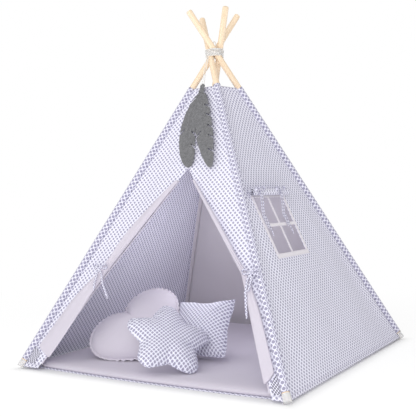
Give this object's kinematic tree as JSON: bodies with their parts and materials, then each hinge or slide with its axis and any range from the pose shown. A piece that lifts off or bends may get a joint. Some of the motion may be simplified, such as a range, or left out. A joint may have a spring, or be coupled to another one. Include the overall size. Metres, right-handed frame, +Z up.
{
  "type": "play teepee",
  "caption": "Child's play teepee: lashed wooden poles, a printed cotton cover with a tied-back doorway and a small window, felt feathers, a padded floor mat and loose cushions.",
  "frame": {"origin": "middle of the square between the four pole feet, on the floor", "axes": "+Z up, the doorway faces -Y, the window faces +X"},
  "size_m": [1.2206, 1.2206, 1.4637],
  "materials": {
    "pine": "planed and sanded, bare",
    "clear_vinyl": "clear moulded cap",
    "lattice_print": "woven cotton with a small lattice print",
    "lattice_print_bold": "woven cotton with a larger lattice print",
    "plain_cotton": "plain woven cotton",
    "shaded_cotton": "plain woven cotton",
    "window_tape": "sewn cotton tape",
    "felt": "pressed felt, 3 mm",
    "cord": "twisted cotton cord"
  },
  "bodies": {
    "mat": {"mat_pad": "plain_cotton", "mat_underside": "lattice_print"},
    "crown": {"lashing_cord": "cord", "lashing_loop": "cord"},
    "leg_front_left": {"pole_front_left": "pine", "foot_cap_front_left": "clear_vinyl", "pole_sleeve_front_left": "lattice_print_bold", "corner_tuck_left": "lattice_print"},
    "leg_front_right": {"pole_front_right": "pine", "foot_cap_front_right": "clear_vinyl", "pole_sleeve_front_right": "lattice_print_bold", "corner_tuck_right": "lattice_print"},
    "leg_back_right": {"pole_back_right": "pine", "foot_cap_back_right": "clear_vinyl", "pole_sleeve_back_right": "lattice_print_bold"},
    "leg_back_left": {"pole_back_left": "pine", "foot_cap_back_left": "clear_vinyl", "pole_sleeve_back_left": "lattice_print_bold"},
    "front_panel": {"wall_front": "lattice_print"},
    "right_panel": {"wall_right": "lattice_print", "window_frame": "window_tape", "window_crossbars": "window_tape", "window_blind_roll": "lattice_print", "window_tie_front": "lattice_print", "window_tie_back": "lattice_print"},
    "back_panel": {"wall_back": "shaded_cotton"},
    "left_panel": {"wall_left": "lattice_print"},
    "left_door_edge": {"door_edge_left": "plain_cotton", "door_tie_left": "lattice_print"},
    "left_door_flap": {"door_flap_left": "plain_cotton"},
    "right_door_edge": {"door_edge_right": "plain_cotton", "door_tie_right": "lattice_print"},
    "right_door_flap": {"door_flap_right": "plain_cotton"},
    "feather_hanger": {"feather_cord": "cord"},
    "left_feather": {"feather_left": "felt"},
    "right_feather": {"feather_right": "felt"},
    "star_cushion": {"cushion_star": "lattice_print_bold"},
    "heart_cushion": {"cushion_heart": "plain_cotton"},
    "square_cushion": {"cushion_square": "lattice_print_bold"}
  },
  "joints": [
    {"name": "lift_and_fold", "type": "slide", "parent": "mat", "child": "crown", "axis": [0, 0, 1], "range_m": [0, 0.8], "deforming": ["wall_front", "wall_back", "wall_left", "wall_right", "window_frame", "window_crossbars", "window_blind_roll", "window_tie_front", "window_tie_back", "door_edge_left", "door_edge_right", "door_tie_left", "door_tie_right", "door_flap_left", "door_flap_right", "corner_tuck_left", "corner_tuck_right", "lashing_loop"]},
    {"name": "front_left_leg_swing", "type": "hinge", "parent": "crown", "child": "leg_front_left", "pos_m": [-0.01538, 0.01463, 1.285], "axis": [0.7246, -0.6892, 0], "range_deg": [-1, 31]},
    {"name": "front_right_leg_swing", "type": "hinge", "parent": "crown", "child": "leg_front_right", "pos_m": [-0.01463, -0.01538, 1.285], "axis": [0.6892, 0.7246, 0], "range_deg": [-1, 31]},
    {"name": "back_right_leg_swing", "type": "hinge", "parent": "crown", "child": "leg_back_right", "pos_m": [0.01538, -0.01463, 1.285], "axis": [-0.7246, 0.6892, 0], "range_deg": [-1, 31]},
    {"name": "back_left_leg_swing", "type": "hinge", "parent": "crown", "child": "leg_back_left", "pos_m": [0.01463, 0.01538, 1.285], "axis": [-0.6892, -0.7246, 0], "range_deg": [-1, 31]},
    {"name": "front_panel_swing", "type": "hinge", "parent": "crown", "child": "front_panel", "pos_m": [0, 0.139, 1.25], "axis": [1, 0, 0], "range_deg": [-1, 23.5]},
    {"name": "right_panel_swing", "type": "hinge", "parent": "crown", "child": "right_panel", "pos_m": [-0.139, 0, 1.25], "axis": [0, 1, 0], "range_deg": [-1, 23.5]},
    {"name": "back_panel_swing", "type": "hinge", "parent": "crown", "child": "back_panel", "pos_m": [0, -0.139, 1.25], "axis": [-1, 0, 0], "range_deg": [-1, 23.5]},
    {"name": "left_panel_swing", "type": "hinge", "parent": "crown", "child": "left_panel", "pos_m": [0.139, 0, 1.25], "axis": [0, -1, 0], "range_deg": [-1, 23.5]},
    {"name": "left_door_edge_swing", "type": "hinge", "parent": "front_panel", "child": "left_door_edge", "pos_m": [0, -0.23124, 0.79342], "axis": [0, -0.9061, 0.4231], "range_deg": [-1, 29]},
    {"name": "left_door_flap_close", "type": "hinge", "parent": "left_door_edge", "child": "left_door_flap", "pos_m": [0, -0.23124, 0.79342], "axis": [0, 0.9061, -0.4231], "range_deg": [-29.5, 0]},
    {"name": "right_door_edge_swing", "type": "hinge", "parent": "front_panel", "child": "right_door_edge", "pos_m": [0, -0.23124, 0.79342], "axis": [0, 0.9061, -0.4231], "range_deg": [-1, 29]},
    {"name": "right_door_flap_close", "type": "hinge", "parent": "right_door_edge", "child": "right_door_flap", "pos_m": [0, -0.23124, 0.79342], "axis": [0, -0.9061, 0.4231], "range_deg": [-31.5, 0]},
    {"name": "feather_cord_swing", "type": "hinge", "parent": "crown", "child": "feather_hanger", "pos_m": [0, -0.04088, 1.2744], "axis": [1, 0, 0], "range_deg": [-1, 15.5]},
    {"name": "left_feather_sway", "type": "hinge", "parent": "feather_hanger", "child": "left_feather", "pos_m": [-0.01, -0.08506, 1.13671], "axis": [-0.0872, -0.9106, 0.4041], "range_deg": [-8, 6]},
    {"name": "right_feather_sway", "type": "hinge", "parent": "feather_hanger", "child": "right_feather", "pos_m": [-0.01, -0.08506, 1.13671], "axis": [-0.0872, -0.9106, 0.4041], "range_deg": [-4, 8]},
    {"name": "star_cushion_lift", "type": "slide", "parent": "mat", "child": "star_cushion", "axis": [0, -0.5, 0.866], "range_m": [0, 0.2]},
    {"name": "heart_cushion_lift", "type": "slide", "parent": "mat", "child": "heart_cushion", "axis": [-0.45, 0.15, 0.8803], "range_m": [0, 0.2]},
    {"name": "square_cushion_lift", "type": "slide", "parent": "mat", "child": "square_cushion", "axis": [0.2, 0.45, 0.8703], "range_m": [0, 0.2]}
  ],
  "couplings": [
    {"joint": "front_left_leg_swing", "follows": "lift_and_fold", "rad_per_m": 0.6416},
    {"joint": "front_right_leg_swing", "follows": "lift_and_fold", "rad_per_m": 0.6416},
    {"joint": "back_right_leg_swing", "follows": "lift_and_fold", "rad_per_m": 0.6416},
    {"joint": "back_left_leg_swing", "follows": "lift_and_fold", "rad_per_m": 0.6416},
    {"joint": "front_panel_swing", "follows": "lift_and_fold", "rad_per_m": 0.4844},
    {"joint": "right_panel_swing", "follows": "lift_and_fold", "rad_per_m": 0.4844},
    {"joint": "back_panel_swing", "follows": "lift_and_fold", "rad_per_m": 0.4844},
    {"joint": "left_panel_swing", "follows": "lift_and_fold", "rad_per_m": 0.4844},
    {"joint": "left_door_edge_swing", "follows": "lift_and_fold", "rad_per_m": 0.571},
    {"joint": "right_door_edge_swing", "follows": "lift_and_fold", "rad_per_m": 0.604},
    {"joint": "feather_cord_swing", "follows": "lift_and_fold", "rad_per_m": 0.32}
  ]
}
